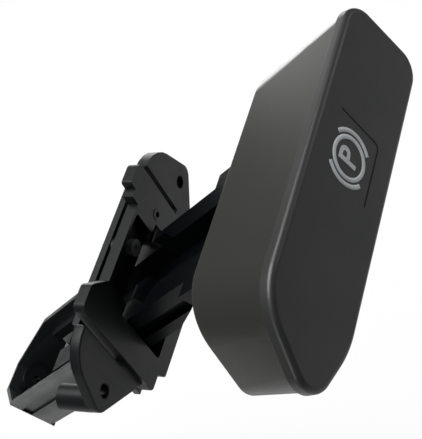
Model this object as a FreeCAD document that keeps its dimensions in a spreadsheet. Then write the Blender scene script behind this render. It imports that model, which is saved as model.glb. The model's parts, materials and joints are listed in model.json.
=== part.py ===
import FreeCAD, Part
import math
import os
import re

import Sketcher
from FreeCAD import Placement, Rotation, Vector

# Parking brake release handle for a dashboard, in millimetres.
# A driver pulls the wide grip. Its ribbed arm slides in a trough that is screwed
# behind a mounting frame with two ears, and draws the release cable.
# Row frame: X runs along the grip, Y runs into the dashboard, square to the ears,
# and Z is up. The origin lies midway between the two ear holes, on the seating face.
# Pull frame: the same X, with Y along the slide, which dips as it goes in.
# Its origin is on the ears' front face. Face planes are square to the grip's front.

SIZES = {
    # directions, in degrees below the Y axis
    "pull_tilt": 36.5,
    "face_tilt": 20.4,
    # mounting frame
    "ear_thick": 4.0,
    "frame_back": 3.0,
    "frame_top": 24.6,
    "frame_foot": 30.5,
    "foot_half": 27.0,
    "bar_top": 17.3,
    "bar_half": 11.5,
    "bar_recess": 1.2,
    "shoulder_half": 17.0,
    "ear_top_half": 37.2,
    "ear_top_round": 13.0,
    "ear_tip_half": 49.7,
    "ear_tip_drop": 1.8,
    "ear_tip_round": 4.0,
    "heel_drop": 22.2,
    "corner_round": 2.5,
    "ear_edge_round": 1.0,
    "hole_half": 41.8,
    "hole_bore": 4.6,
    "slot_half": 28.0,
    "slot_width": 1.8,
    "slot_foot": 4.0,
    "window_half": 18.4,
    "window_top": 5.4,
    "window_foot": 23.6,
    "locator_half": 23.1,
    "locator_height": 5.3,
    "locator_radius": 2.9,
    "locator_bore": 2.6,
    "locator_proud": 0.8,
    "bay_half": 26.0,
    "bay_inner": 20.6,
    "bay_skin": 1.8,
    # guide trough
    "side_gap": 0.5,
    "trough_wall": 2.0,
    "trough_top": 1.6,
    "trough_floor": 18.5,
    "trough_length": 105.0,
    "nose_length": 22.0,
    "nose_half": 6.5,
    "nose_top": 0.0,
    "nose_floor": 16.0,
    "flange_thick": 2.4,
    "flange_half": 27.0,
    "flange_top": 16.0,
    "flange_foot": 30.0,
    "rail_gap": 0.35,
    "rail_recess": 1.0,
    "top_gap": 1.6,
    "cable_drop": 8.0,
    # sliding arm
    "arm_half": 17.5,
    "arm_top": 1.9,
    "arm_bottom": 11.9,
    "groove_top": 3.5,
    "groove_bottom": 8.0,
    "groove_depth": 3.2,
    "channel_half": 8.5,
    "channel_depth": 7.0,
    "web_thick": 2.4,
    "keel_half": 11.5,
    "arm_end": 62.0,
    "keel_start": 30.0,
    "keel_full": 15.5,
    "rib_count": 3,
    "rib_thick": 1.6,
    "rib_pitch": 20.0,
    "root_half": 23.0,
    "root_end": 42.5,
    "flange_arm_half": 33.0,
    "flange_arm_thick": 3.0,
    "flange_arm_top": 3.5,
    "flange_arm_foot": 15.0,
    "lug_inner": 8.4,
    "lug_width": 5.2,
    "lug_height": 3.5,
    "home_lug_start": 19.6,
    "home_lug_end": 11.5,
    "pull_lug_start": 43.0,
    "pull_lug_end": 52.0,
    "buffer_thick": 1.5,
    # grip
    "face_back": 97.8,
    "face_drop": 14.0,
    "rear_plane": 68.8,
    "cap_right": 60.0,
    "cap_left": 63.2,
    "cap_crown": 16.75,
    "cap_left_crown": 44.0,
    "cap_tip_drop": 9.5,
    "cap_left_foot": 41.0,
    "cap_left_sole": 17.9,
    "cap_sole": 16.6,
    "cap_round": 8.0,
    "cap_crown_round": 21.0,
    "cap_foot_round": 30.0,
    "rear_right": 53.0,
    "rear_crown": 15.4,
    "rear_left_crown": 40.7,
    "rear_left": 56.5,
    "rear_tip_drop": 13.0,
    "rear_left_foot": 39.0,
    "rear_left_sole": 18.0,
    "rear_sole": 16.6,
    "rear_sole_right": 52.0,
    "rear_right_round": 17.0,
    "rear_crown_round": 22.0,
    "rear_tip_round": 5.0,
    "rear_foot_round": 30.0,
    "rear_sole_round": 10.0,
    "grip_wall": 2.4,
    "lip": 0.8,
    "cap_depth": 4.2,
    "cap_skin": 2.4,
    "cap_edge_round": 1.8,
    "skirt_length": 3.0,
    "skirt_gap": 0.3,
    "skirt_wall": 1.6,
    "web_setback": 7.0,
    "grip_web": 2.6,
    "rim_round": 1.2,
    "cover_thick": 1.4,
    "cover_inset": 1.1,
    "seat_gap": 0.15,
    "cutout_gap": 0.4,
    # cable end
    "hook_half": 4.5,
    "hook_thick": 1.5,
    "hook_start": 48.0,
    "hook_end": 80.0,
    "hook_lip": 8.0,
    "hook_slot": 2.2,
    "rivet_place": 55.0,
    "rivet_bore": 3.1,
    "rivet_shank": 3.0,
    "rivet_head": 7.0,
    "rivet_head_thick": 1.2,
    "cable_bore": 3.0,
    "bush_radius": 5.6,
    "bush_neck": 4.2,
    "bush_fit": 0.1,
    "bush_inside": 7.0,
    "bush_outside": 7.0,
    "clip_radius": 6.6,
    "clip_thick": 1.6,
    # screws
    "screw_head": 5.8,
    "screw_head_thick": 2.2,
    "screw_shank": 3.0,
    "screw_bore": 3.3,
    "screw_drive": 2.4,
    "top_screw_side": 5.1,
    "top_screw_height": 12.0,
    "low_screw_half": 23.4,
    "low_screw_drop": 25.6,
    "arm_screw_half": 28.0,
    "arm_screw_drop": 5.6,
    "boss_radius": 3.6,
    "boss_length": 6.0,
}

doc = FreeCAD.newDocument("release_handle")
sheet = doc.addObject("Spreadsheet::Sheet", "Sizes")
for line, (alias, number) in enumerate(SIZES.items(), start=1):
    sheet.set(f"A{line}", alias)
    sheet.set(f"B{line}", str(number))
    sheet.setAlias(f"B{line}", alias)
doc.recompute()

# Places worked out from the sheet, as expressions
FACE_TURN = "(pull_tilt - face_tilt)"
REAR_CENTRE = f"(-face_drop + (face_back - rear_plane) * tan({FACE_TURN}))"
CHANNEL_HALF = "(arm_half + side_gap)"
TROUGH_HALF = f"({CHANNEL_HALF} + trough_wall)"
RAIL_TIP = "(arm_half - groove_depth + rail_gap)"
CHANNEL_FLOOR = "(arm_top - channel_depth)"
KEEL_ROOF = f"({CHANNEL_FLOOR} - web_thick)"
WEB_REAR = "(-rear_plane - web_setback)"
NOSE_END = "(trough_length + nose_length)"
HOOK_REST = CHANNEL_FLOOR


def named(text):
    """Turn the sheet's words in an expression into references to its cells."""
    return re.sub(r"[a-z]\w*", lambda word: f"Sizes.{word[0]}" if word[0] in SIZES else word[0], str(text))


def value(text):
    return float(sheet.evalExpression(named(text)))


def bind(owner, **settings):
    for path, text in settings.items():
        owner.setExpression(path.replace("__", "."), named(text))


def place(owner, across="0", along="0", up="0", turn=None):
    """Bind a place in the local frame, and a turn about X where one is given."""
    if turn is not None:
        owner.Placement = Placement(Vector(), Rotation(Vector(1, 0, 0), value(turn)))
        bind(owner, Placement__Rotation__Angle=turn)
    bind(owner, Placement__Base__x=across, Placement__Base__y=along, Placement__Base__z=up)
    return owner


def fix_point(sketch, item, corner, across, up):
    for kind, text in (("DistanceX", across), ("DistanceY", up)):
        index = sketch.addConstraint(Sketcher.Constraint(kind, -1, 1, item, corner, value(text)))
        sketch.setExpression(f"Constraints[{index}]", named(text))


def outline(sketch, corners):
    """Draw a closed outline on corners (across, up, radius), with arcs where a radius is given."""
    spots = [Vector(value(across), value(up), 0) for across, up, radius in corners]
    radii = [value(radius) if radius else 0.0 for across, up, radius in corners]
    count = len(corners)
    ins, outs, turns = [], [], []
    for index, spot in enumerate(spots):
        before = (spot - spots[index - 1]).normalize()
        after = (spots[(index + 1) % count] - spot).normalize()
        reach = radii[index] * math.tan(before.getAngle(after) / 2)
        ins.append(spot - before * reach)
        outs.append(spot + after * reach)
        turns.append(before.cross(after).z)
    lines = [sketch.addGeometry(Part.LineSegment(outs[index], ins[(index + 1) % count]), False)
             for index in range(count)]
    for index, (across, up, radius) in enumerate(corners):
        before, after = lines[index - 1], lines[index]
        if not radius:
            sketch.addConstraint(Sketcher.Constraint("Coincident", before, 2, after, 1))
            fix_point(sketch, after, 1, across, up)
            continue
        corner = sketch.addGeometry(Part.Point(spots[index]), True)
        fix_point(sketch, corner, 1, across, up)
        for side in (before, after):
            sketch.addConstraint(Sketcher.Constraint("PointOnObject", corner, 1, side))
        left = turns[index] > 0
        start, end = (ins[index], outs[index]) if left else (outs[index], ins[index])
        normal = Vector(0, 0, 1).cross(spots[index] - spots[index - 1]).normalize()
        centre = ins[index] + normal * (radii[index] if left else -radii[index])
        arc = sketch.addGeometry(Part.ArcOfCircle(
            Part.Circle(centre, Vector(0, 0, 1), radii[index]), *arc_span(start, centre, end)), False)
        first, last = (1, 2) if left else (2, 1)
        sketch.addConstraint(Sketcher.Constraint("Tangent", before, 2, arc, first))
        sketch.addConstraint(Sketcher.Constraint("Tangent", arc, last, after, 1))
        size = sketch.addConstraint(Sketcher.Constraint("Radius", arc, radii[index]))
        sketch.setExpression(f"Constraints[{size}]", named(radius))


def arc_span(start, centre, end):
    """The first and last angle, anticlockwise, of an arc about a centre."""
    first = math.atan2(start.y - centre.y, start.x - centre.x)
    last = math.atan2(end.y - centre.y, end.x - centre.x)
    return first, last if last > first else last + 2 * math.pi


def circle(sketch, across, up, radius):
    ring = Part.Circle(Vector(value(across), value(up), 0), Vector(0, 0, 1), value(radius))
    item = sketch.addGeometry(ring, False)
    fix_point(sketch, item, 3, across, up)
    size = sketch.addConstraint(Sketcher.Constraint("Radius", item, value(radius)))
    sketch.setExpression(f"Constraints[{size}]", named(radius))


# Sketches of a body, on its own planes

def body_sketch(body, name, plane="XZ_Plane", away="0"):
    """A sketch on a plane of the body, moved along +Y or +Z or +X by a distance."""
    sketch = body.newObject("Sketcher::SketchObject", name)
    origin = next(item for item in body.Origin.OriginFeatures if item.Role == plane)
    sketch.AttachmentSupport = (origin, "")
    sketch.MapMode = "FlatFace"
    sign = "-" if plane == "XZ_Plane" else ""
    bind(sketch, AttachmentOffset__Base__z=f"{sign}({away})")
    return sketch


def pad(body, name, sketch, depth, reverse=True):
    feature = body.newObject("PartDesign::Pad", name)
    feature.Profile = sketch
    feature.Reversed = reverse
    bind(feature, Length=depth)
    return feature


def pocket(body, name, sketch, depth=None, reverse=False):
    """Cut a sketch away, through everything both ways where no depth is given."""
    feature = body.newObject("PartDesign::Pocket", name)
    feature.Profile = sketch
    feature.Reversed = reverse
    if depth is None:
        feature.Type = "ThroughAll"
        feature.Midplane = True
    else:
        bind(feature, Length=depth)
    return feature


def mirrored(corners):
    """Complete an outline given on the +X side, from top to bottom, with its mirror image."""
    twins = [(f"-({across})", up, radius) for across, up, radius in reversed(corners)]
    return list(corners) + twins


# Free sketches and solids

def front_sketch(name, corners, along="0", up="0", turn="0"):
    """An outline across the slide, on X and up, placed along it."""
    sketch = doc.addObject("Sketcher::SketchObject", name)
    place(sketch, along=along, up=up, turn=f"90 + {turn}")
    outline(sketch, corners)
    return sketch


def plan_sketch(name, corners, up="0"):
    """An outline seen from above, on X and along the slide."""
    sketch = doc.addObject("Sketcher::SketchObject", name)
    place(sketch, up=up)
    outline(sketch, corners)
    return sketch


def side_sketch(name, corners, across="0"):
    """An outline seen from the side, along the slide and up."""
    sketch = doc.addObject("Sketcher::SketchObject", name)
    sketch.Placement = Placement(Vector(), Rotation(Vector(1, 1, 1), 120))
    bind(sketch, Placement__Base__x=across)
    outline(sketch, corners)
    return sketch


def extrude(name, profile, length, reverse=False):
    solid = doc.addObject("Part::Extrusion", name)
    solid.Base = profile
    solid.DirMode = "Normal"
    solid.Solid = True
    solid.Reversed = reverse
    bind(solid, LengthFwd=length)
    return solid


def grow(name, profile, amount):
    """An outline offset outwards by an amount, or inwards where it is negative."""
    ring = doc.addObject("Part::Offset2D", name)
    ring.Source = profile
    bind(ring, Value=amount)
    return ring


def loft(name, *sections):
    solid = doc.addObject("Part::Loft", name)
    solid.Sections = list(sections)
    solid.Solid = True
    solid.Ruled = True
    return solid


def block(name, across, along, up, turn=None):
    """A box between two bounds each way, turned about X where that is given."""
    box = doc.addObject("Part::Box", name)
    bind(box, Length=f"({across[1]}) - ({across[0]})", Width=f"({along[1]}) - ({along[0]})",
         Height=f"({up[1]}) - ({up[0]})")
    return place(box, across[0], along[0], up[0], turn)


def rod(name, radius, length, across="0", along="0", up="0", axis="along"):
    """A cylinder that runs from a point along the slide, or upwards."""
    cylinder = doc.addObject("Part::Cylinder", name)
    bind(cylinder, Radius=radius, Height=length)
    return place(cylinder, across, along, up, turn="-90" if axis == "along" else "0")


def cut(name, base, *tools):
    result = doc.addObject("Part::Cut", name)
    result.Base = base
    result.Tool = tools[0] if len(tools) == 1 else fuse(f"{name}_tools", *tools)
    return result


def fuse(name, *shapes):
    result = doc.addObject("Part::MultiFuse", name)
    result.Shapes = list(shapes)
    return result


def common(name, *shapes):
    result = doc.addObject("Part::MultiCommon", name)
    result.Shapes = list(shapes)
    return result


def round_edges(name, base, radius, chosen):
    """Round the edges of a shape whose every vertex passes a test."""
    doc.recompute()
    edges = [number for number, edge in enumerate(base.Shape.Edges, start=1)
             if all(chosen(edge.valueAt(edge.FirstParameter + step * (edge.LastParameter - edge.FirstParameter)))
                    for step in (0.0, 0.5, 1.0))]
    result = doc.addObject("Part::Fillet", name)
    result.Base = base
    result.Edges = [(number, value(radius), value(radius)) for number in edges]
    return result


NODES = {}


def node(name, shape, frame="row"):
    """Name a finished piece and put it in the row frame."""
    shape.Label = name
    if frame == "pull":
        place(shape, along="-ear_thick", turn="-pull_tilt")
    NODES[name] = shape


def mount_frame():
    """The moulded frame: two ears, a window for the arm, slots that free the ears."""
    body = doc.addObject("PartDesign::Body", "mount_frame")
    plate = body_sketch(body, "frame_plate", away="-ear_thick")
    outline(plate, mirrored([
        ("bar_half", "bar_top", "corner_round"),
        ("shoulder_half", "frame_top", "corner_round"),
        ("ear_top_half", "frame_top", "ear_top_round"),
        ("ear_tip_half", "-ear_tip_drop", "ear_tip_round"),
        ("foot_half", "-heel_drop", "corner_round"),
        ("foot_half", "-frame_foot", "corner_round"),
    ]))
    pad(body, "frame_plate_pad", plate, "ear_thick")
    block_back = body_sketch(body, "frame_block")
    outline(block_back, mirrored([
        ("bar_half", "bar_top", "corner_round"),
        ("shoulder_half", "frame_top", "corner_round"),
        ("slot_half", "frame_top", ""),
        ("slot_half", "-heel_drop", ""),
        ("foot_half", "-frame_foot", "corner_round"),
    ]))
    pad(body, "frame_block_pad", block_back, "frame_back")
    rings = body_sketch(body, "locator_rings", away="-ear_thick - locator_proud")
    for side in ("", "-"):
        circle(rings, f"{side}locator_half", "locator_height", "locator_radius")
    pad(body, "locator_rings_pad", rings, "locator_proud")
    recess = body_sketch(body, "bar_recess_outline", away="-ear_thick")
    outline(recess, mirrored([
        ("bar_half - corner_round / 2", "bar_top + corner_round", ""),
        ("bar_half - corner_round / 2", "window_top - corner_round", ""),
    ]))
    pocket(body, "bar_recess_pocket", recess, "bar_recess")
    window = body_sketch(body, "window")
    outline(window, mirrored([
        ("window_half", "window_top", "corner_round"),
        ("window_half", "-window_foot", "corner_round"),
    ]))
    pocket(body, "window_pocket", window)
    slots = body_sketch(body, "slots")
    for side in ("", "-"):
        near, far = f"{side}slot_half", f"{side}(slot_half + slot_width)"
        outline(slots, [(near, "frame_top + slot_width", ""), (far, "frame_top + slot_width", ""),
                        (far, "-slot_foot", ""), (near, "-slot_foot", "")])
    pocket(body, "slots_pocket", slots)
    bays = body_sketch(body, "bays", away="-ear_thick + bay_skin")
    for side in ("", "-"):
        near, far = f"{side}bay_inner", f"{side}bay_half"
        outline(bays, [(near, "frame_top - bay_skin", ""), (far, "frame_top - bay_skin", ""),
                       (far, "locator_height + locator_radius + bay_skin", ""),
                       (near, "locator_height + locator_radius + bay_skin", "")])
        outline(bays, [(near, "locator_height - locator_radius - bay_skin", ""),
                       (far, "locator_height - locator_radius - bay_skin", ""),
                       (far, "-low_screw_drop + boss_radius + bay_skin", ""),
                       (near, "-low_screw_drop + boss_radius + bay_skin", "")])
    pocket(body, "bays_pocket", bays, "ear_thick + frame_back")
    holes = body_sketch(body, "ear_holes")
    for side in ("", "-"):
        circle(holes, f"{side}hole_half", "0", "hole_bore / 2")
        circle(holes, f"{side}locator_half", "locator_height", "locator_bore / 2")
    circle(holes, "top_screw_side", "top_screw_height", "screw_bore / 2")
    pocket(body, "ear_holes_pocket", holes)
    blind = body_sketch(body, "low_screw_holes", away="frame_back")
    for side in ("", "-"):
        circle(blind, f"{side}low_screw_half", "-low_screw_drop", "screw_bore / 2")
    pocket(body, "low_screw_pocket", blind, "boss_length", reverse=True)
    node("mount_frame", body)


def screw(name, frame, across, along, up, grip, turned=False):
    """A pan head screw whose head sits on a face and whose shank runs into the dashboard."""
    back = "-1" if not turned else "1"
    head = rod(f"{name}_head", "screw_head / 2", "screw_head_thick", across,
               f"({along}) - screw_head_thick" if not turned else along, up)
    shank = rod(f"{name}_shank", "screw_shank / 2", grip, across,
                along if not turned else f"({along}) - ({grip})", up)
    drive = rod(f"{name}_drive", "screw_drive / 2", "screw_head_thick", across,
                f"({along}) + ({back}) * screw_head_thick - screw_head_thick / 2", up)
    node(name, cut(f"{name}_solid", fuse(f"{name}_blank", head, shank), drive), frame)


def guide_trough():
    """The channel behind the frame: a flange, two walls with rails inside, and a nose."""
    section = front_sketch("channel_section", mirrored([
        (CHANNEL_HALF, "-trough_floor + trough_wall", ""),
        (CHANNEL_HALF, "-groove_bottom + rail_gap", ""),
        (RAIL_TIP, "-groove_bottom + rail_gap", ""),
        (RAIL_TIP, "-groove_top - rail_gap", ""),
        (CHANNEL_HALF, "-groove_top - rail_gap", ""),
        (CHANNEL_HALF, "trough_top", ""),
        (TROUGH_HALF, "trough_top", ""),
        (TROUGH_HALF, "-groove_top", ""),
        (f"{TROUGH_HALF} - rail_recess", "-groove_top", ""),
        (f"{TROUGH_HALF} - rail_recess", "-groove_bottom", ""),
        (TROUGH_HALF, "-groove_bottom", ""),
        (TROUGH_HALF, "-trough_floor", "corner_round"),
    ]))
    channel = extrude("channel", section, "trough_length", reverse=True)

    def nose_section(name, along, half, top, floor):
        return front_sketch(name, [(half, top, ""), (f"-{half}", top, ""),
                                   (f"-{half}", f"-({floor})", ""), (half, f"-({floor})", "")], along)
    nose = cut("nose",
               loft("nose_outer",
                    nose_section("nose_outer_root", "trough_length", TROUGH_HALF, "trough_top", "trough_floor"),
                    nose_section("nose_outer_tip", NOSE_END, "nose_half", "nose_top", "nose_floor")),
               loft("nose_inner",
                    nose_section("nose_inner_root", "trough_length", CHANNEL_HALF,
                                 "trough_top + trough_wall", "trough_floor - trough_wall"),
                    nose_section("nose_inner_tip", f"{NOSE_END} - trough_wall", "(nose_half - trough_wall / 2)",
                                 "nose_top + trough_wall", "nose_floor - trough_wall")))
    plate = block("flange_plate", ("-flange_half", "flange_half"), ("0", "flange_thick"),
                  ("-flange_foot", "flange_top"), turn="pull_tilt")
    across_plate = "(ear_thick + frame_back)"
    place(plate, "-flange_half",
          f"{across_plate} * cos(pull_tilt) + flange_foot * sin(pull_tilt)",
          f"{across_plate} * sin(pull_tilt) - flange_foot * cos(pull_tilt)", turn="pull_tilt")
    passage = block("passage", (f"-{CHANNEL_HALF}", CHANNEL_HALF), ("-trough_length", "trough_length"),
                    ("-trough_floor + trough_wall", "arm_top + top_gap"))
    front_trim = block("front_trim", ("-flange_half * 2", "flange_half * 2"), ("-trough_length", "0"),
                       ("-trough_length", "trough_length"))
    place(front_trim, "-flange_half * 2",
          f"({across_plate} - trough_length) * cos(pull_tilt) + trough_length * sin(pull_tilt)",
          f"({across_plate} - trough_length) * sin(pull_tilt) - trough_length * cos(pull_tilt)",
          turn="pull_tilt")
    cable_hole = rod("cable_hole", "bush_neck + bush_fit / 2", "trough_wall * 4",
                     along=f"{NOSE_END} - trough_wall * 2", up="-cable_drop")
    body = fuse("trough_body", cut("flange", plate, passage), channel, nose)
    screws = [screw_hole(f"flange_hole_{name}", across, up) for name, across, up in (
        ("top", "top_screw_side", "top_screw_height"),
        ("left", "-low_screw_half", "-low_screw_drop"),
        ("right", "low_screw_half", "-low_screw_drop"))]
    node("guide_trough", cut("trough", body, front_trim, cable_hole, *screws), "pull")


def screw_hole(name, across, up):
    """A bore square to the ears, in the pull frame, through the flange."""
    start = "(ear_thick + frame_back - flange_thick)"
    return place(rod(name, "screw_bore / 2", "flange_thick * 3"), across,
                 f"{start} * cos(pull_tilt) - ({up}) * sin(pull_tilt)",
                 f"{start} * sin(pull_tilt) + ({up}) * cos(pull_tilt)", turn="pull_tilt - 90")


def slide_arm():
    """The ribbed arm: a section with grooves and channels, a keel, a root and a flange."""
    body = doc.addObject("PartDesign::Body", "slide_arm")
    section = body_sketch(body, "arm_section", away=WEB_REAR)
    groove = "(arm_half - groove_depth)"
    outline(section, mirrored([
        ("channel_half", CHANNEL_FLOOR, ""),
        ("channel_half", "arm_top", ""),
        ("arm_half", "arm_top", ""),
        ("arm_half", "-groove_top", ""),
        (groove, "-groove_top", ""),
        (groove, "-groove_bottom", ""),
        ("arm_half", "-groove_bottom", ""),
        ("arm_half", "-arm_bottom", ""),
        ("keel_half", "-arm_bottom", ""),
        ("keel_half", KEEL_ROOF, ""),
    ]))
    pad(body, "arm_pad", section, f"arm_end - {WEB_REAR}")
    keel = body_sketch(body, "keel_cut", plane="YZ_Plane")
    outline(keel, [(f"{WEB_REAR} - web_thick", "-groove_bottom", ""), ("-keel_start", "-groove_bottom", ""),
                   ("-keel_full", "-arm_bottom", ""), ("-keel_full", "-arm_bottom * 2", ""),
                   (f"{WEB_REAR} - web_thick", "-arm_bottom * 2", "")])
    pocket(body, "keel_pocket", keel)
    root = body_sketch(body, "root", away=WEB_REAR)
    outline(root, mirrored([("root_half", "arm_top", ""), ("root_half", "-groove_bottom", "")]))
    pad(body, "root_pad", root, f"-root_end - {WEB_REAR}")
    trench = body_sketch(body, "root_trench", away="-rear_plane + web_thick")
    outline(trench, mirrored([("channel_half", "arm_top * 2", ""), ("channel_half", CHANNEL_FLOOR, "")]))
    pocket(body, "root_trench_pocket", trench, "rear_plane")
    flange = body_sketch(body, "arm_flange", away=WEB_REAR)
    outline(flange, mirrored([("flange_arm_half", "flange_arm_top", "corner_round"),
                              ("flange_arm_half", "-flange_arm_foot", "corner_round")]))
    pad(body, "arm_flange_pad", flange, "flange_arm_thick")
    ribs = body_sketch(body, "keel_ribs", plane="YZ_Plane", away="-keel_half")
    for count in range(int(value("rib_count"))):
        start = f"(-keel_full + rib_pitch * {count + 1} - rib_pitch / 2)"
        outline(ribs, [(start, KEEL_ROOF, ""), (f"{start} + rib_thick", KEEL_ROOF, ""),
                       (f"{start} + rib_thick", "-arm_bottom", ""), (start, "-arm_bottom", "")])
    pad(body, "keel_ribs_pad", ribs, "keel_half * 2", reverse=False)
    lugs = body_sketch(body, "stop_lugs", plane="XY_Plane", away="arm_top")
    for side in ("", "-"):
        inner, outer = f"{side}lug_inner", f"{side}(lug_inner + lug_width)"
        outline(lugs, [(inner, "-home_lug_start", ""), (outer, "-home_lug_end", ""),
                       (inner, "-home_lug_end", "")])
        outline(lugs, [(inner, "pull_lug_start", ""), (outer, "pull_lug_start", ""),
                       (inner, "pull_lug_end", "")])
    pad(body, "stop_lugs_pad", lugs, "lug_height", reverse=False)
    holes = body_sketch(body, "arm_screw_holes", away=WEB_REAR)
    for side in ("", "-"):
        circle(holes, f"{side}arm_screw_half", "-arm_screw_drop", "screw_bore / 2")
    pocket(body, "arm_screw_pocket", holes, "flange_arm_thick")
    rivet = body_sketch(body, "rivet_hole", plane="XY_Plane", away=CHANNEL_FLOOR)
    circle(rivet, "0", "rivet_place", "rivet_bore / 2")
    pocket(body, "rivet_pocket", rivet, "web_thick")
    node("slide_arm", body, "pull")


def buffers():
    """Rubber pads on the ends of the stop lugs."""
    for side, near in (("left", "-(lug_inner + lug_width)"), ("right", "lug_inner")):
        far = f"{near} + lug_width"
        for name, start in (("home", "-home_lug_end"), ("pull", "pull_lug_start - buffer_thick")):
            pad_plan = plan_sketch(f"{name}_pad_{side}", [
                (near, start, ""), (far, start, ""),
                (far, f"{start} + buffer_thick", ""), (near, f"{start} + buffer_thick", "")], up="arm_top")
            node(f"{name}_buffer_{side}", extrude(f"{name}_buffer_solid_{side}", pad_plan, "lug_height"), "pull")


def cap_outline(name, deep):
    """The grip's front outline, on a plane square to the face's inward normal."""
    return front_sketch(name, [
        ("cap_right", "cap_crown", "cap_round"),
        ("-cap_left_crown", "cap_crown", "cap_crown_round"),
        ("-cap_left", "-cap_tip_drop", "cap_round"),
        ("-cap_left_foot", "-cap_left_sole", "cap_foot_round"),
        ("cap_right", "-cap_sole", "cap_round"),
    ], along=f"-face_back + ({deep}) * cos({FACE_TURN})", up=f"-face_drop + ({deep}) * sin({FACE_TURN})",
        turn=FACE_TURN)


def rear_outline(name, along="-rear_plane"):
    """The grip's rear outline, square to the slide."""
    return front_sketch(name, [
        ("rear_right", "rear_crown", "rear_right_round"),
        ("-rear_left_crown", "rear_crown", "rear_crown_round"),
        ("-rear_left", "-rear_tip_drop", "rear_tip_round"),
        ("-rear_left_foot", "-rear_left_sole", "rear_foot_round"),
        ("rear_sole_right", "-rear_sole", "rear_sole_round"),
    ], along=along, up=REAR_CENTRE)


def front_cap():
    """The cap over the front of the grip, with a rounded lip and a skirt inside."""
    outer = extrude("cap_blank", cap_outline("cap_front", "0"), "cap_depth", reverse=True)
    turn = math.radians(value(FACE_TURN))
    inward = Vector(0, math.cos(turn), math.sin(turn))
    start = Vector(0, -value("face_back"), -value("face_drop"))
    rounded = round_edges("cap_rounded", outer, "cap_edge_round",
                          lambda spot: abs((spot - start).dot(inward)) < 0.01)
    skirt = extrude("cap_skirt", grow("cap_skirt_outline", cap_outline("cap_skirt_plane", "cap_skin"),
                                      "-lip - grip_wall - skirt_gap"),
                    "cap_depth - cap_skin + skirt_length", reverse=True)
    hollow = extrude("cap_hollow", grow("cap_hollow_outline", cap_outline("cap_hollow_plane", "cap_skin"),
                                        "-lip - grip_wall - skirt_gap - skirt_wall"),
                     "cap_depth + skirt_length", reverse=True)
    node("front_cap", cut("cap", fuse("cap_solid", rounded, skirt), hollow), "pull")


def grip_body():
    """The hollow, drafted grip, with a web across it that carries the arm."""
    front = grow("grip_front", cap_outline("grip_front_plane", "cap_depth"), "-lip")
    outer = loft("grip_outer", front, rear_outline("grip_rear"))
    rounded = round_edges("grip_rounded", outer, "rim_round",
                          lambda spot: abs(spot.y + value("rear_plane")) < 0.01)
    inner = loft("grip_inner",
                 grow("grip_inner_front", cap_outline("grip_inner_plane", "cap_depth"), "-lip - grip_wall"),
                 grow("grip_inner_rear", rear_outline("grip_inner_rear_plane"), "-grip_wall"))
    socket = extrude("skirt_socket", grow("skirt_socket_outline", cap_outline("socket_plane", "cap_depth"),
                                          "-lip - grip_wall"), "skirt_length + skirt_gap", reverse=True)
    seat = extrude("cover_seat", grow("cover_seat_outline", rear_outline("cover_seat_plane"),
                                      "-cover_inset"), "cover_thick")
    slab = block("web_slab", ("-cap_left", "cap_right"), (f"{WEB_REAR} - grip_web", WEB_REAR),
                 ("-face_back", "face_back"))
    web = common("grip_web_plate", outer, slab)
    bosses = [rod(f"arm_boss_{side}", "boss_radius", "boss_length", f"{sign}arm_screw_half",
                  f"{WEB_REAR} - boss_length", "-arm_screw_drop")
              for side, sign in (("left", "-"), ("right", ""))]
    bores = [rod(f"arm_bore_{side}", "screw_shank / 2 + bush_fit / 2", "boss_length", f"{sign}arm_screw_half",
                 f"{WEB_REAR} - boss_length", "-arm_screw_drop")
             for side, sign in (("left", "-"), ("right", ""))]
    shell = cut("grip_shell", rounded, inner, socket, seat)
    node("grip_body", cut("grip", fuse("grip_solid", shell, web, *bosses), *bores), "pull")


def back_cover():
    """The cover in the rear of the grip, with a cutout for the arm's root."""
    plate = extrude("cover_plate", grow("cover_outline", rear_outline("cover_plane"),
                                        "-cover_inset - seat_gap"), "cover_thick")
    cutout = block("cover_cutout", ("-root_half - cutout_gap", "root_half + cutout_gap"),
                   ("-rear_plane - cover_thick * 2", "-rear_plane + cover_thick"),
                   ("-groove_bottom - cutout_gap", "arm_top + cutout_gap"))
    node("back_cover", cut("cover", plate, cutout), "pull")


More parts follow.
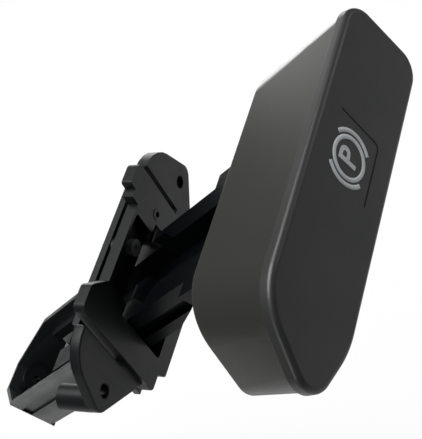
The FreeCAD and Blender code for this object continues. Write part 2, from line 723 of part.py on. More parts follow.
def cable_end():
    """The sheet metal hook on the arm, its rivet, and the bush and clip in the nose."""
    rest = HOOK_REST
    profile = side_sketch("hook_profile", [
        ("hook_start", f"{rest} + hook_thick", ""), ("hook_end", f"{rest} + hook_thick", "hook_thick"),
        ("hook_end", f"{rest} - hook_lip", ""),
        ("hook_end - hook_thick", f"{rest} - hook_lip", ""),
        ("hook_end - hook_thick", rest, ""), ("hook_start", rest, ""),
    ], across="-hook_half")
    hook = extrude("hook_blank", profile, "hook_half * 2")
    bore = rod("hook_bore", "rivet_bore / 2", "hook_thick * 3", along="rivet_place",
               up=f"{rest} - hook_thick", axis="up")
    slot = block("hook_slot_cut", ("-hook_slot / 2", "hook_slot / 2"),
                 ("hook_end - hook_thick * 2", "hook_end + hook_thick"),
                 (f"{rest} - hook_lip * 2", f"{rest} - hook_lip / 2"))
    node("cable_hook", cut("hook", hook, bore, slot), "pull")
    head = rod("rivet_head", "rivet_head / 2", "rivet_head_thick", along="rivet_place",
               up=f"{rest} + hook_thick", axis="up")
    shank = rod("rivet_shank", "rivet_shank / 2", "hook_thick + web_thick", along="rivet_place",
                up=KEEL_ROOF, axis="up")
    tail = rod("rivet_tail", "rivet_head / 2", "rivet_head_thick", along="rivet_place",
               up=f"{KEEL_ROOF} - rivet_head_thick", axis="up")
    node("hook_rivet", fuse("rivet", head, shank, tail), "pull")
    inside = rod("bush_inside", "bush_radius", "bush_inside",
                 along=f"{NOSE_END} - trough_wall - bush_inside", up="-cable_drop")
    neck = rod("bush_neck", "bush_neck", "trough_wall + clip_thick", along=f"{NOSE_END} - trough_wall",
               up="-cable_drop")
    outside = rod("bush_outside", "bush_radius", "bush_outside", along=f"{NOSE_END} + clip_thick",
                  up="-cable_drop")
    passage = rod("cable_passage", "cable_bore / 2", "nose_length * 3", along="trough_length",
                  up="-cable_drop")
    node("cable_bush", cut("bush", fuse("bush_blank", inside, neck, outside), passage), "pull")
    disc = rod("clip_disc", "clip_radius", "clip_thick", along=NOSE_END, up="-cable_drop")
    throat = rod("clip_throat", "bush_neck + bush_fit / 2", "clip_thick", along=NOSE_END, up="-cable_drop")
    mouth = block("clip_mouth", ("-(bush_neck + bush_fit / 2)", "bush_neck + bush_fit / 2"),
                  (NOSE_END, f"{NOSE_END} + clip_thick"), ("-cable_drop - clip_radius * 2", "-cable_drop"))
    node("bush_clip", cut("clip", disc, throat, mouth), "pull")


def finish():
    """Rebuild, check every object and write one file for each piece."""
    doc.recompute()
    for item in doc.Objects:
        assert "Invalid" not in item.State and "Error" not in item.State, (item.Name, item.State)
        if item.TypeId == "Sketcher::SketchObject":
            assert item.FullyConstrained, item.Name
    os.makedirs("parts", exist_ok=True)
    for name, item in NODES.items():
        shape = item.Shape
        assert not shape.isNull() and shape.isValid() and len(shape.Solids) == 1, (name, len(shape.Solids))
        box = shape.BoundBox
        print(f"{name}: {shape.Volume:.0f} mm3, X {box.XMin:.1f} {box.XMax:.1f}, "
              f"Y {box.YMin:.1f} {box.YMax:.1f}, Z {box.ZMin:.1f} {box.ZMax:.1f}")
        shape.exportStep(f"parts/{name}.step")


mount_frame()
guide_trough()
slide_arm()
buffers()
front_cap()
grip_body()
back_cover()
cable_end()
screw("frame_screw_top", "row", "top_screw_side", "-ear_thick + bar_recess", "top_screw_height",
      "ear_thick - bar_recess + frame_back + flange_thick + screw_head_thick")
for side_name, side_sign in (("left", "-"), ("right", "")):
    screw(f"frame_screw_{side_name}", "row", f"{side_sign}low_screw_half", "frame_back + flange_thick",
          "-low_screw_drop", "flange_thick + boss_length - screw_bore / 2", turned=True)
    screw(f"arm_screw_{side_name}", "pull", f"{side_sign}arm_screw_half", f"{WEB_REAR} + flange_arm_thick",
          "-arm_screw_drop", "flange_arm_thick + boss_length - screw_bore / 2", turned=True)
finish()
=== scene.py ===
# %% [markdown]
# Parking brake release handle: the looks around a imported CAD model.
# The object is a wide satin grip on a ribbed arm. The arm slides in a dark nylon
# trough behind a frame with two ears. The CAD model gives the pieces their shapes,
# so this lesson spends its effort on four things: soft moulded edges, surfaces that
# say which plastic they are, a frame in more detail, and the sign on the grip.

import bmesh
import bpy
import json
import math
from mathutils import Matrix, Vector
from mathutils.geometry import tessellate_polygon


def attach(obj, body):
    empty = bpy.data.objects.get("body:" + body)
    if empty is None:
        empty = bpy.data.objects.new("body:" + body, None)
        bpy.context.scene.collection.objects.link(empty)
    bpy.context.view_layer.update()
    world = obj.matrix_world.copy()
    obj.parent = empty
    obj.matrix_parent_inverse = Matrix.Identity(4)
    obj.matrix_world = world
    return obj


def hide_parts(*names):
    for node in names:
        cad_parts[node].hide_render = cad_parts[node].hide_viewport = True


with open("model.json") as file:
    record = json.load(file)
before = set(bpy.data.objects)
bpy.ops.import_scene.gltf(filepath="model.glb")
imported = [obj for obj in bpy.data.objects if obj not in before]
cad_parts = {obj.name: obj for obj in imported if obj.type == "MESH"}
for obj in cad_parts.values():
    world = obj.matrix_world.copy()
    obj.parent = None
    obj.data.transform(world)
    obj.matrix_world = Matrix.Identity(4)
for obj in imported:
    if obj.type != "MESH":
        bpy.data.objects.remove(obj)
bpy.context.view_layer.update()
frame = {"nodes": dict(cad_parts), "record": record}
NODES = frame["nodes"]
BODIES = frame["record"]["behaviour"]["bodies"]
MM = 0.001
print("nodes:", ", ".join(sorted(NODES)))

# %% [markdown]
# Sizes are written in real millimetres, and MM turns them into Blender's metres.
# Colours are written as a painter would read them off a screen, in sRGB hex, and
# one function turns them into the linear values that shaders need.

# %% Colours


def linear(code):
    """An sRGB hex colour as linear red, green, blue and alpha."""
    channels = [int(code[index:index + 2], 16) / 255 for index in (1, 3, 5)]
    return [c / 12.92 if c <= 0.04045 else ((c + 0.055) / 1.055) ** 2.4 for c in channels] + [1.0]


# %% [markdown]
# One helper adds a node, sets its values and links its inputs. A value that is
# itself a node's output becomes a link, anything else is written on the socket.
# A socket goes by its name, or by i and its number where several share a name.
# That keeps each material short enough to read at a glance.

# %% The node helper


def add(tree, kind, settings=None, **inputs):
    """Add a node to a tree, with properties in settings and sockets by their names."""
    node = tree.nodes.new(kind)
    for name, value in (settings or {}).items():
        setattr(node, name, value)
    for name, value in inputs.items():
        key = int(name[1:]) if name[0] == "i" and name[1:].isdigit() else name.replace("_", " ")
        if isinstance(value, bpy.types.NodeSocket):
            tree.links.new(value, node.inputs[key])
        else:
            node.inputs[key].default_value = value
    return node


# %% [markdown]
# Most of the object is one of two plastics. Satin ABS, the grip, comes out of a
# spark-eroded mould: a fine even grain that scatters highlights into a soft sheen.
# Glass-filled nylon, the frame, trough and arm, is duller and less even, because
# fibres lie near the skin and streak it along the flow of the melt. Both are one
# recipe with other numbers: a grain size, a streak strength and two close tints.

# %% The moulded plastics
PATCH_SIZE = 18
FIBRE_SIZE = 0.9
FIBRE_STRETCH = (1.0, 0.12, 0.12)
NOISE_LOW, NOISE_HIGH = 0.3, 0.7
PLASTIC_IOR = 1.5


def moulded(name, light, dark, roughness, grain, relief, streak=0.0, gloss=0.5, spread=0.06):
    """A moulded plastic. grain is the size of its grain and relief its depth, in mm."""
    material = bpy.data.materials.new(name)
    material.use_nodes = True
    tree = material.node_tree
    shader = tree.nodes["Principled BSDF"]
    place = add(tree, "ShaderNodeTexCoord").outputs["Object"]
    cloud = add(tree, "ShaderNodeTexNoise", Vector=place, Scale=1 / (PATCH_SIZE * MM),
                Detail=3.0).outputs[0]
    long_way = add(tree, "ShaderNodeMapping", Vector=place, Scale=FIBRE_STRETCH).outputs[0]
    fibre = add(tree, "ShaderNodeTexNoise", Vector=long_way, Scale=1 / (FIBRE_SIZE * MM),
                Detail=2.0).outputs[0]
    mottle = add(tree, "ShaderNodeMix", {"data_type": "FLOAT"}, i0=streak, i2=cloud,
                 i3=fibre).outputs[0]
    tint = add(tree, "ShaderNodeMapRange", i0=mottle, i1=NOISE_LOW, i2=NOISE_HIGH).outputs[0]
    colour = add(tree, "ShaderNodeMix", {"data_type": "RGBA"}, i0=tint,
                 i6=linear(dark), i7=linear(light))
    tree.links.new(colour.outputs[2], shader.inputs["Base Color"])
    shine = add(tree, "ShaderNodeMapRange", i0=mottle, i1=NOISE_LOW, i2=NOISE_HIGH,
                i3=roughness + spread, i4=roughness - spread).outputs[0]
    tree.links.new(shine, shader.inputs["Roughness"])
    pits = add(tree, "ShaderNodeTexNoise", Vector=place, Scale=1 / (grain * MM), Detail=2.0,
               Roughness=0.6).outputs[0]
    bump = add(tree, "ShaderNodeBump", Height=pits, Strength=1.0, Distance=relief * MM)
    tree.links.new(bump.outputs[0], shader.inputs["Normal"])
    shader.inputs["IOR"].default_value = PLASTIC_IOR
    shader.inputs["Specular IOR Level"].default_value = gloss
    return material


# The grain of 0.5 mm is about twice the real one, so that it shows in the render.
GRIP_ABS = moulded("satin moulded ABS, grip", "#2B2C29", "#292A27", 0.32, 0.5, 0.005, spread=0.02)
CAP_ABS = moulded("satin moulded ABS, cap", "#292B29", "#252726", 0.40, 0.5, 0.010)
COVER_ABS = moulded("moulded ABS, cover", "#232423", "#1F2020", 0.5, 0.5, 0.012)
FRAME_NYLON = moulded("glass-filled nylon, frame", "#131516", "#0D1011", 0.44, 0.7, 0.014,
                      streak=0.35, gloss=0.22)
# The trough takes a lighter tint of the frame's nylon. The tint is painted light, standing in for
# the light on its outer side.
TROUGH_NYLON_PAINTED_LIGHT = moulded("glass-filled nylon, trough, lighter as painted light", "#1E2122", "#181B1C", 0.38, 0.7, 0.014,
                       streak=0.35, gloss=0.25)
# The arm takes a near black tint of the frame's nylon. The tint is painted shade, standing in for
# the grip's shadow on it.
ARM_NYLON_PAINTED_SHADE = moulded("glass-filled nylon, arm, darkened as painted shade", "#07090B", "#040608", 0.36, 0.7, 0.012,
                    streak=0.5, gloss=0.06)
BUSH_ACETAL = moulded("acetal, bush", "#121516", "#0E1112", 0.28, 0.9, 0.006, gloss=0.3)
CLIP_ACETAL = moulded("acetal, natural grey clip", "#8E9291", "#868A89", 0.34, 0.9, 0.006)
BUFFER_RUBBER = moulded("moulded rubber", "#141414", "#0F0F0F", 0.72, 0.35, 0.016)
print("plastics made:", len(bpy.data.materials))

# %% [markdown]
# The screws, the hook and its rivet are steel with a thin zinc coat. Zinc is a
# metal, so its colour lives in the reflection and its IOR stays at the default.
# Barrel plating leaves small soft blotches, so one broad noise varies the tint,
# the roughness and a faint relief together.

# %% Zinc plated steel
ZINC_SHADE = 0.86
ZINC_SMOOTHER, ZINC_ROUGHER = 0.08, 0.12
ZINC_RELIEF = 0.01


def zinc(name, colour, roughness, blotch):
    """Zinc plated steel. blotch is the size of its soft patches, in mm."""
    material = bpy.data.materials.new(name)
    material.use_nodes = True
    tree = material.node_tree
    shader = tree.nodes["Principled BSDF"]
    shader.inputs["Metallic"].default_value = 1.0
    place = add(tree, "ShaderNodeTexCoord").outputs["Object"]
    cloud = add(tree, "ShaderNodeTexNoise", Vector=place, Scale=1 / (blotch * MM),
                Detail=4.0).outputs[0]
    dark = [channel * ZINC_SHADE for channel in linear(colour)[:3]] + [1.0]
    tint = add(tree, "ShaderNodeMix", {"data_type": "RGBA"}, i0=cloud, i6=dark, i7=linear(colour))
    tree.links.new(tint.outputs[2], shader.inputs["Base Color"])
    shine = add(tree, "ShaderNodeMapRange", i0=cloud, i3=roughness - ZINC_SMOOTHER,
                i4=roughness + ZINC_ROUGHER).outputs[0]
    tree.links.new(shine, shader.inputs["Roughness"])
    bump = add(tree, "ShaderNodeBump", Height=cloud, Strength=0.5, Distance=ZINC_RELIEF * MM)
    tree.links.new(bump.outputs[0], shader.inputs["Normal"])
    return material


SCREW_ZINC = zinc("zinc plated steel, screws", "#A3A5A7", 0.55, 1.2)
HOOK_ZINC = zinc("zinc plated sheet steel", "#9DA0A2", 0.38, 2.0)
print("finishes made:", len(bpy.data.materials))

# %% [markdown]
# Every drawn piece is put into the scene the same way. A piece with modifiers then
# keeps what they make as a plain mesh, because only a plain mesh is handed over.

# %% The scene helpers


def placed(name, data):
    """A new object with its data, linked into the scene at the origin."""
    piece = bpy.data.objects.new(name, data)
    bpy.context.scene.collection.objects.link(piece)
    return piece


def plain_mesh(piece):
    """A new mesh of what an object looks like with its modifiers."""
    graph = bpy.context.evaluated_depsgraph_get()
    return bpy.data.meshes.new_from_object(piece.evaluated_get(graph))


def settle(piece):
    """Keep what the modifiers make as the piece's mesh, and remove them."""
    mesh = plain_mesh(piece)
    piece.modifiers.clear()
    piece.data = mesh
    return mesh


def smooth(mesh, sharp_angle):
    """Shade a mesh smooth, apart from edges that turn by more than an angle."""
    for polygon in mesh.polygons:
        polygon.use_smooth = True
    mesh.set_sharp_from_angle(angle=sharp_angle)


# %% [markdown]
# A moulding has no sharp edge: the mould is worn and polished, and each edge
# catches a thin line of light. The CAD solids are exact, with sharp edges where
# a fillet isn't part of the design. So each moulded piece gets a copy whose loose
# triangles are merged, whose flat faces are joined again, and whose edges are
# rounded by a bevel of a few tenths of a millimetre. The copy replaces the node.

# %% Soft edges on the moulded pieces
MERGE = 0.002 * MM
FLAT = math.radians(0.5)
EDGE = math.radians(34)
EDGE_SEGMENTS = 2


def soft_edged(node, material, width):
    """A copy of a CAD node with rounded edges, which stands for the node."""
    mesh = NODES[node].data.copy()
    shape = bmesh.new()
    shape.from_mesh(mesh)
    bmesh.ops.remove_doubles(shape, verts=shape.verts, dist=MERGE)
    bmesh.ops.dissolve_limit(shape, angle_limit=FLAT, verts=shape.verts, edges=shape.edges)
    shape.to_mesh(mesh)
    shape.free()
    mesh.materials.clear()
    mesh.materials.append(material)
    smooth(mesh, EDGE)
    piece = placed(f"{node}_soft", mesh)
    bevel = piece.modifiers.new("worn mould edge", "BEVEL")
    bevel.width = width * MM
    bevel.segments = EDGE_SEGMENTS
    bevel.limit_method = "ANGLE"
    bevel.angle_limit = EDGE
    bevel.miter_outer = "MITER_ARC"
    piece.modifiers.new("even shading", "WEIGHTED_NORMAL").keep_sharp = False
    settle(piece)
    body = next(name for name, group in BODIES.items() if node in group)
    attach(piece, body)
    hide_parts(node)
    print(f"{node}: {len(piece.data.polygons)} faces after rounding by {width} mm")


soft_edged("guide_trough", TROUGH_NYLON_PAINTED_LIGHT, 0.30)
soft_edged("slide_arm", ARM_NYLON_PAINTED_SHADE, 0.30)
soft_edged("front_cap", CAP_ABS, 0.15)
soft_edged("grip_body", GRIP_ABS, 0.15)
soft_edged("back_cover", COVER_ABS, 0.25)

# %% [markdown]
# The photograph shows the frame in more detail than its CAD solid has. A block
# round the window stands proud of the two ears, its top is stepped on one side
# and sloped on the other, and a short post stands behind each ear. The frame is
# drawn here as outlines with holes, which are given a depth and rounded. Cutting
# the CAD mesh could do it too, but a drawn outline is easier to read and change.
# Ear holes, screw seats and the ears' rear faces stay where the CAD solid has them.
# A corner of an outline is written as its place across, its height and its radius.

# %% The frame's outlines
BLOCK = [
    (16.8, 20.4, 0), (16.8, 24.6, 0), (19.9, 24.6, 0), (19.9, 27.9, 1), (28.8, 27.9, 2.5),
    (28.8, -19.3, 0), (22.6, -23.2, 0), (20.9, -28.1, 1.2),
    (-20.9, -28.1, 1.2), (-22.6, -23.2, 0), (-28.8, -19.3, 0),
    (-28.8, 27.9, 2.5), (-19.6, 27.9, 2.5), (-13.4, 20.4, 0),
]
WINDOW = [
    (18.2, -20.4, 1.2), (18.2, 7.4, 0), (14, 7.4, 0), (14, 19.2, 1.2),
    (-14, 19.2, 1.2), (-14, 7.4, 0), (-18.2, 7.4, 0), (-18.2, -20.4, 1.2),
]
BAR = [(14.4, 19.6, 0), (14.4, 6.4, 0), (-14.4, 6.4, 0), (-14.4, 19.6, 0)]
COLLAR = [
    (26, 8, 2), (26, -21, 0), (26.5, -23, 0), (26.5, -29, 2),
    (-26.5, -29, 2), (-26.5, -23, 0), (-26, -21, 0), (-26, 8, 2),
]
COLLAR_WINDOW = [(18.4, 5.4, 1.2), (18.4, -23.6, 1.2), (-18.4, -23.6, 1.2), (-18.4, 5.4, 1.2)]
EAR = [(41.0, 21.4, 13), (49.7, -1.8, 4.5), (27.6, -20.3, 0), (27.6, -4, 0)]
print("block outline:", len(BLOCK), "corners")

# %% [markdown]
# A moulded outline has small radii at many of its corners. A corner without a radius
# stays one point, and the others become short arcs. The points could be typed in,
# but corners with radii are how such a part is drawn, and are easier to change.

# %% Points of an outline


def rounded(corners, steps=5):
    """Points of a closed outline, with an arc at each corner that has a radius."""
    points = []
    for index, (across, up, radius) in enumerate(corners):
        spot = Vector((across, up))
        before = (Vector(corners[index - 1][:2]) - spot).normalized()
        after = (Vector(corners[(index + 1) % len(corners)][:2]) - spot).normalized()
        if not radius:
            points.append(spot)
            continue
        half = before.angle(after) / 2
        middle = spot + (before + after).normalized() * radius / math.sin(half)
        start = spot + before * radius / math.tan(half) - middle
        end = spot + after * radius / math.tan(half) - middle
        for step in range(steps + 1):
            points.append(middle + start.lerp(end, step / steps).normalized() * radius)
    return points


def arc(across, up, radius, first, last, steps=28):
    """Points along an arc, with its angles in degrees."""
    points = []
    for step in range(steps + 1):
        angle = math.radians(first + (last - first) * step / steps)
        points.append(Vector((across + radius * math.cos(angle), up + radius * math.sin(angle))))
    return points


def circle(across, up, radius):
    """Points round a whole circle."""
    return arc(across, up, radius, 0, 360)[:-1]


def flipped(points, side):
    """The same points on the plus side, or mirrored onto the minus side."""
    return [Vector((side * point.x, point.y)) for point in points]


# %% [markdown]
# A plate is an outline with holes, filled on its front and rear and closed by walls.
# A filled 2D curve could do this too, but offsetting it for a bevel folds its narrow
# corners. Here triangles fill the outline, flat neighbours are joined, and every
# corner line gets a small bevel, like the worn edges of the other mouldings.

# %% The plate


def plate(outline, holes, front, back, edge):
    """A mesh of a plate square to Y, between two depths in mm, with rounded edges."""
    loops = [outline, *holes]
    spots = [spot for loop in loops for spot in loop]
    vertices = [(spot.x * MM, depth * MM, spot.y * MM) for depth in (front, back) for spot in spots]
    triangles = tessellate_polygon([[spot.to_3d() for spot in loop] for loop in loops])
    faces = [*triangles, *([index + len(spots) for index in triangle] for triangle in triangles)]
    first = 0
    for loop in loops:
        for step in range(len(loop)):
            here, following = first + step, first + (step + 1) % len(loop)
            faces.append((here, following, following + len(spots), here + len(spots)))
        first += len(loop)
    mesh = bpy.data.meshes.new("plate")
    mesh.from_pydata(vertices, [], faces)
    shape = bmesh.new()
    shape.from_mesh(mesh)
    bmesh.ops.recalc_face_normals(shape, faces=shape.faces)
    bmesh.ops.dissolve_limit(shape, angle_limit=FLAT, verts=shape.verts, edges=shape.edges)
    corners = [line for line in shape.edges if line.calc_face_angle(0) > EDGE]
    bmesh.ops.bevel(shape, geom=corners, offset=edge * MM, offset_type="OFFSET",
                    segments=EDGE_SEGMENTS, profile=0.5, affect="EDGES", clamp_overlap=True)
    shape.to_mesh(mesh)
    shape.free()
    return mesh


# %% [markdown]
# Depths run along Y, from the front at minus to the rear at plus, and the ears'
# rear faces lie at zero. A slot ends where the ear starts, farther out on the plus
# side than on the minus side. Screws, bosses and posts are round, so each has a
# centre and a radius. Where two plates meet, one reaches a little into the other.

# %% The frame's depths and round forms
SLOT_EDGES = {1: 32.7, -1: 30.2}
SLOT_TOP, SLOT_FOOT = 21.4, -4
BLOCK_FRONT, BLOCK_BACK = -5.8, -1.8
BAR_FRONT, FRAME_BACK = -2.8, 3.0
EAR_FRONT, EAR_BACK = -4.0, 0
REACH = 0.4
EAR_HOLE = (41.8, 0, 2.3)
POST = (44.4, -0.5, 4.5)
POST_SWEEP = (-158, 133)
POST_HOLLOW = (41.8, 0, 2.6)
HOLLOW_SWEEP = (95, -127)
HOLLOW_STEPS = 12
POST_START, POST_END = -0.5, 10.9
TOP_SCREW = (5.1, 12.0, 1.65)
TOP_BOSS = (5.1, 12.0, 3.6)
LOCATOR_RIM = (21.2, 8.6, 2.1)
LOCATOR_BORE = (21.2, 8.6, 1.1)
LOCATOR_PROUD = 0.2
BLOCK_EDGE, EAR_EDGE, POST_EDGE = 0.3, 0.6, 0.5
COLLAR_EDGE, RIM_EDGE, BAR_EDGE = 0.2, 0.15, 0.05
FRAME_SHARP = math.radians(46)

# %% [markdown]
# The block, the bar across its top, the collar behind it, the screw's boss and the
# locator's rim lie in the middle. An ear and a post follow on each side. A post is
# hollow towards the ear's hole, so that a screw can pass it. All plates go into one
# mesh, and weighted normals keep its flat faces flat in the light.

# %% The frame
top_hole = circle(*TOP_SCREW)
locator_hole = circle(*LOCATOR_BORE)
post = arc(*POST, *POST_SWEEP) + arc(*POST_HOLLOW, *HOLLOW_SWEEP, HOLLOW_STEPS)
plates = [
    plate(rounded(BLOCK), [rounded(WINDOW), locator_hole], BLOCK_FRONT, BLOCK_BACK, BLOCK_EDGE),
    plate(rounded(BAR), [top_hole], BAR_FRONT, BLOCK_BACK, BAR_EDGE),
    plate(rounded(COLLAR), [rounded(COLLAR_WINDOW)], BLOCK_BACK - REACH, FRAME_BACK, COLLAR_EDGE),
    plate(circle(*TOP_BOSS), [top_hole], BLOCK_BACK - REACH, FRAME_BACK, COLLAR_EDGE),
    plate(circle(*LOCATOR_RIM), [locator_hole], BLOCK_FRONT - LOCATOR_PROUD, BLOCK_FRONT + REACH,
          RIM_EDGE),
]
for side, slot_edge in SLOT_EDGES.items():
    ear = flipped(rounded([(slot_edge, SLOT_TOP, 0), *EAR, (slot_edge, SLOT_FOOT, 0)]), side)
    ear_hole = flipped(circle(*EAR_HOLE), side)
    plates.append(plate(ear, [ear_hole], EAR_FRONT, EAR_BACK, EAR_EDGE))
    plates.append(plate(flipped(post, side), [], POST_START, POST_END, POST_EDGE))
shape = bmesh.new()
for mesh in plates:
    shape.from_mesh(mesh)
frame_mesh = bpy.data.meshes.new("mount_frame_soft")
shape.to_mesh(frame_mesh)
shape.free()
frame_mesh.materials.append(FRAME_NYLON)
smooth(frame_mesh, FRAME_SHARP)
frame_piece = placed("mount_frame_soft", frame_mesh)
frame_piece.modifiers.new("even shading", "WEIGHTED_NORMAL").keep_sharp = True
settle(frame_piece)
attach(frame_piece, "bracket")
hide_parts("mount_frame")
print("frame:", len(frame_piece.data.polygons), "faces from", len(plates), "plates")

# %% [markdown]
# Screws, hook, rivet, bush, clip and buffers are small, and most lie behind the
# frame. Rounded edges wouldn't show on them, so they keep their CAD meshes and only
# take their finish.

# %% Finishes of the small pieces
FINISHES = {
    "cable_bush": BUSH_ACETAL,
    "bush_clip": CLIP_ACETAL,
    "cable_hook": HOOK_ZINC,
    "hook_rivet": HOOK_ZINC,
    **{name: SCREW_ZINC for name in NODES if "screw" in name},
    **{name: BUFFER_RUBBER for name in NODES if "buffer" in name},
}
for name, material in FINISHES.items():
    NODES[name].data.materials.clear()
    NODES[name].data.materials.append(material)
print("small pieces finished:", len(FINISHES))

# %% [markdown]
# The sign on the grip is the common one for a parking brake: a P in a ring with
# an arc on each side. It is pad printed, a film of light grey ink a few hundredths
# of a millimetre thick. Here the film is 0.08 mm, so that it stays clear of the face.
# The grip's face is flat and leans back at its top, and everything on it is drawn
# flat first and then laid on it by one matrix.

# %% The grip's face
FACE_TILT = math.radians(20.4)
INWARD = Vector((0, math.cos(FACE_TILT), -math.sin(FACE_TILT)))
UPWARD = Vector((0, math.sin(FACE_TILT), math.cos(FACE_TILT)))
FRONT = min(vertex.co.dot(INWARD) for vertex in NODES["front_cap"].data.vertices)
SIGN_ACROSS = 10.4 * MM
SIGN_UP = 1.5 * MM
FACE_MIDDLE = Vector((0, -90.9, 46.9)) * MM
SIGN_LEVEL = FACE_MIDDLE.dot(UPWARD) + SIGN_UP


def on_face(lift):
    """The matrix that lays a flat drawing on the grip's face, centred on the sign."""
    place = Vector((SIGN_ACROSS, 0, 0)) + INWARD * (FRONT - lift) + UPWARD * SIGN_LEVEL
    turn = Matrix((Vector((1, 0, 0)), UPWARD, -INWARD)).transposed()
    return Matrix.Translation(place) @ turn.to_4x4()


print(f"grip face lies at {FRONT / MM:.2f} mm along its normal")

# %% [markdown]
# The ink is matt and covers almost evenly. Its two tints are close, so that a
# broad noise thins it a little, as the pad does where it lifts off.

# %% The ink
INK = moulded("pad printed grey ink", "#D2D5D8", "#C6CACC", 0.55, 0.25, 0.004)
INK_FILM = 0.08 * MM


def printed(piece):
    """Lay a flat piece on the grip's face, with its faces turned outwards."""
    piece.data.transform(on_face(INK_FILM / 2))
    shape = bmesh.new()
    shape.from_mesh(piece.data)
    bmesh.ops.remove_doubles(shape, verts=shape.verts, dist=MERGE)
    bmesh.ops.recalc_face_normals(shape, faces=shape.faces)
    shape.to_mesh(piece.data)
    shape.free()
    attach(piece, "handle")


# %% [markdown]
# The ring and the arcs follow a rule, so Geometry Nodes sweep a flat band along a
# circle or an arc. The sizes are named inputs of the tree, in metres and radians.

# %% The band tree
BAND_INPUTS = {"Radius": 0.007, "Width": 0.001, "Thickness": 0.0001, "Start": 0.0, "Sweep": 1.0}


def band_tree(closed):
    """A tree that sweeps a flat band of a given width and thickness along a ring or an arc."""
    tree = bpy.data.node_groups.new("printed ring" if closed else "printed arc", "GeometryNodeTree")
    for label, value in BAND_INPUTS.items():
        socket = tree.interface.new_socket(label, in_out="INPUT", socket_type="NodeSocketFloat")
        socket.default_value = value
    tree.interface.new_socket("Material", in_out="INPUT", socket_type="NodeSocketMaterial")
    tree.interface.new_socket("Geometry", in_out="OUTPUT", socket_type="NodeSocketGeometry")
    given = tree.nodes.new("NodeGroupInput").outputs
    if closed:
        path = add(tree, "GeometryNodeCurvePrimitiveCircle", Resolution=96, Radius=given["Radius"])
    else:
        path = add(tree, "GeometryNodeCurveArc", Resolution=48, Radius=given["Radius"],
                   Start_Angle=given["Start"], Sweep_Angle=given["Sweep"])
    outline = add(tree, "GeometryNodeCurvePrimitiveQuadrilateral", Width=given["Width"],
                  Height=given["Thickness"])
    swept = add(tree, "GeometryNodeCurveToMesh", Curve=path.outputs["Curve"],
                Profile_Curve=outline.outputs["Curve"], Fill_Caps=True)
    real = add(tree, "GeometryNodeRealizeInstances", Geometry=swept.outputs["Mesh"])
    painted = add(tree, "GeometryNodeSetMaterial", Geometry=real.outputs["Geometry"],
                  Material=given["Material"])
    end = tree.nodes.new("NodeGroupOutput")
    tree.links.new(painted.outputs["Geometry"], end.inputs["Geometry"])
    return tree


def band(name, tree, **sizes):
    """Run the tree on an empty mesh, keep its result as a plain mesh and lay it on the face."""
    piece = placed(name, bpy.data.meshes.new(name))
    modifier = piece.modifiers.new("band", "NODES")
    modifier.node_group = tree
    values = {**BAND_INPUTS, "Material": INK, "Thickness": INK_FILM, **sizes}
    for item in tree.interface.items_tree:
        if item.in_out == "INPUT":
            modifier[item.identifier] = values[item.name]
    settle(piece)
    printed(piece)


# %% [markdown]
# The ring is one closed band. The arcs are two open bands of the same width, one on
# the right and one on the left, each a little over a quarter of a circle.

# %% The ring and the arcs
RING_RADIUS = 6.3 * MM
ARC_RADIUS = 8.3 * MM
BAND_WIDTH = 1.35 * MM
ARC_SWEEP = math.radians(104)
band("sign_ring", band_tree(True), Radius=RING_RADIUS, Width=BAND_WIDTH)
arc_tree = band_tree(False)
for side, middle in (("right", 0.0), ("left", math.pi)):
    band(f"sign_arc_{side}", arc_tree, Radius=ARC_RADIUS, Width=BAND_WIDTH,
         Start=middle - ARC_SWEEP / 2, Sweep=ARC_SWEEP)
print(f"sign bands made, each {BAND_WIDTH / MM:.2f} mm wide")

# %% [markdown]
# The letter is a text object. It is made bold by an offset, given the thickness of
# the ink, and turned into a mesh before it is laid on the face.

# %% The letter
LETTER_HEIGHT = 7.4 * MM
CAPITAL_SHARE = 0.72
BOLDER = 0.22 * MM
text = bpy.data.curves.new("sign_letter", "FONT")
text.body = "P"
text.align_x = "CENTER"
text.align_y = "CENTER"
text.size = LETTER_HEIGHT / CAPITAL_SHARE
text.offset = BOLDER
text.extrude = INK_FILM / 2
letter_text = placed("sign_letter_text", text)
letter_mesh = plain_mesh(letter_text)
bpy.data.objects.remove(letter_text)
letter_mesh.materials.clear()
letter_mesh.materials.append(INK)
printed(placed("sign_letter", letter_mesh))
print("letter faces:", len(letter_mesh.polygons))

# %% [markdown]
# A fine line is scribed round two sides of the sign, down its right and along its
# foot. It is half a millimetre wide, so instead of a groove a dark strip lies on the
# face, its colour the painted shade of the groove. The strip is drawn like a plate of
# the frame, and then turned to lie flat.

# %% The scribed line
LINE = [(12.75, 7.6, 0), (11.85, -10.15, 2.25), (-9.8, -10.55, 0),
        (-9.8, -10.05, 0), (11.35, -9.65, 1.75), (12.25, 7.6, 0)]
LINE_DEPTH = 0.06
LINE_EDGE = 0.01
# Painted shade: the dark colour that the groove's shade would give, laid on the face.
LINE_PAINTED_SHADE = moulded("painted shade of the scribed line", "#111211", "#0C0D0C", 0.6, 0.3, 0.004, gloss=0.2)
LAID_FLAT = Matrix(((1, 0, 0), (0, 0, 1), (0, -1, 0))).to_4x4()
line_mesh = plate(rounded(LINE), [], 0, LINE_DEPTH, LINE_EDGE)
line_mesh.transform(on_face(LINE_DEPTH * MM) @ LAID_FLAT)
line_mesh.materials.append(LINE_PAINTED_SHADE)
line_piece = placed("cap_scribed_line", line_mesh)
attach(line_piece, "handle")
print("line faces:", len(line_mesh.polygons))

# %% [markdown]
# The camera stands where the photograph was taken: above the rounded end of the
# grip, looking down along the arm. Its place and turn were solved from the grip's
# edges, the arm and the two ear holes.

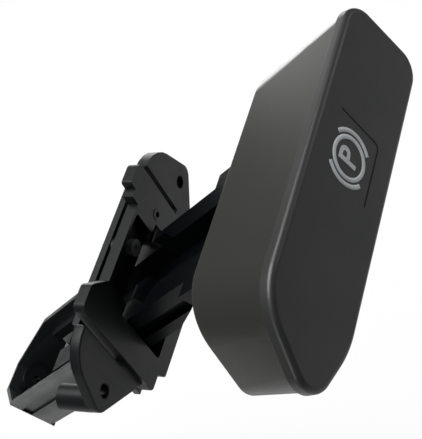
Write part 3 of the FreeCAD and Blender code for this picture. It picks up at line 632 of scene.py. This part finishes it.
# %% Camera
CAMERA_PLACE = Vector((-187.4, -212.9, 289.2)) * MM
CAMERA_RIGHT = Vector((0.27186, -0.88237, -0.38409))
CAMERA_UP = Vector((0.80794, -0.00755, 0.58921))
FOCAL_PIXELS = 1200
PICTURE_HEIGHT = 439
SENSOR = 36
NEAREST = 10 * MM
camera_data = bpy.data.cameras.new("camera")
camera_data.sensor_fit = "VERTICAL"
camera_data.sensor_height = SENSOR
camera_data.lens = FOCAL_PIXELS / PICTURE_HEIGHT * SENSOR
camera_data.clip_start = NEAREST
camera = placed("camera", camera_data)
camera_back = CAMERA_RIGHT.cross(CAMERA_UP)
camera_turn = Matrix((CAMERA_RIGHT, CAMERA_UP, camera_back)).transposed().to_4x4()
camera.matrix_world = Matrix.Translation(CAMERA_PLACE) @ camera_turn
bpy.context.scene.camera = camera
print(f"lens: {camera_data.lens:.1f} mm")

# %% [markdown]
# Light for dark satin plastic comes mostly from what it reflects. A broad panel
# above and behind draws the bright band on the grip's upper wall. A smaller one on
# the left lights the rounded end and the ears, one in front lifts the grip's face,
# and one low behind the far end picks out the frame's far side. The world fills the
# rest. Each panel has its place, the point that it faces, its width and height, and
# its power in watts.

# %% Lights
PANELS = {
    "top panel": ((60, 160, 620), (0, -30, 10), 520, 420, 6.0),
    "left panel": ((-620, 40, 300), (0, -40, 0), 160, 420, 0.8),
    "front fill": ((480, -500, 240), (0, -40, 0), 360, 420, 0.7),
    "far panel": ((430, 250, -20), (20, -60, 60), 190, 260, 0.7),
}
for name, (place, target, width, height, power) in PANELS.items():
    light = bpy.data.lights.new(name, "AREA")
    light.shape = "RECTANGLE"
    light.size = width * MM
    light.size_y = height * MM
    light.energy = power
    lamp = placed(name, light)
    lamp.location = Vector(place) * MM
    lamp.rotation_euler = (Vector(target) - Vector(place)).to_track_quat("-Z", "Y").to_euler()
print("panels:", ", ".join(PANELS))

# %% [markdown]
# The world is a plain white studio. It lights the part only a little, so that the
# panels draw its shape. White for the camera comes from Is Camera Ray, never from
# more light.

# %% The world
WORLD_FILL = 0.09
WHITE = linear("#FFFFFF")
world = bpy.data.worlds.new("studio")
world.use_nodes = True
tree = world.node_tree
ray = add(tree, "ShaderNodeLightPath").outputs
seen = add(tree, "ShaderNodeMath", {"operation": "MAXIMUM"},
           i0=ray["Is Camera Ray"], i1=ray["Is Transmission Ray"])
strength = add(tree, "ShaderNodeMapRange", i0=seen.outputs[0], i3=WORLD_FILL, i4=1.0).outputs[0]
tree.nodes["Background"].inputs["Color"].default_value = WHITE
tree.links.new(strength, tree.nodes["Background"].inputs["Strength"])
bpy.context.scene.world = world
print("world fill:", WORLD_FILL)

# %% [markdown]
# The floor lies a hand's width below the part, which is held in the air as its
# dashboard would hold it. Nearly all that the camera sees there is plain white, so
# the floor reads as white paper and still takes a faint shadow.

# %% Floor
FLOOR_DEPTH = 170 * MM
FLOOR_HALF = 6000 * MM
WHITE_SHARE = 0.92
floor_mesh = bpy.data.meshes.new("floor")
floor_corners = [(x * FLOOR_HALF, y * FLOOR_HALF, -FLOOR_DEPTH)
                 for x, y in ((-1, -1), (1, -1), (1, 1), (-1, 1))]
floor_mesh.from_pydata(floor_corners, [], [(0, 1, 2, 3)])
floor = placed("floor", floor_mesh)
paper = bpy.data.materials.new("white paper floor")
paper.use_nodes = True
tree = paper.node_tree
tree.nodes.remove(tree.nodes["Principled BSDF"])
matt = add(tree, "ShaderNodeBsdfDiffuse", Color=linear("#F2F2F2"))
glow = add(tree, "ShaderNodeEmission", Color=WHITE, Strength=1.0)
ray = add(tree, "ShaderNodeLightPath").outputs
share = add(tree, "ShaderNodeMath", {"operation": "MULTIPLY"}, i0=ray["Is Camera Ray"],
            i1=WHITE_SHARE)
mixed = add(tree, "ShaderNodeMixShader", i0=share.outputs[0], i1=matt.outputs[0],
            i2=glow.outputs[0])
tree.links.new(mixed.outputs[0], tree.nodes["Material Output"].inputs["Surface"])
floor_mesh.materials.append(paper)
print(f"floor at {-FLOOR_DEPTH / MM:.0f} mm")

# %% [markdown]
# The Standard view shows each colour as it was read off the screen.

# %% Picture settings
bpy.context.scene.view_settings.view_transform = "Standard"
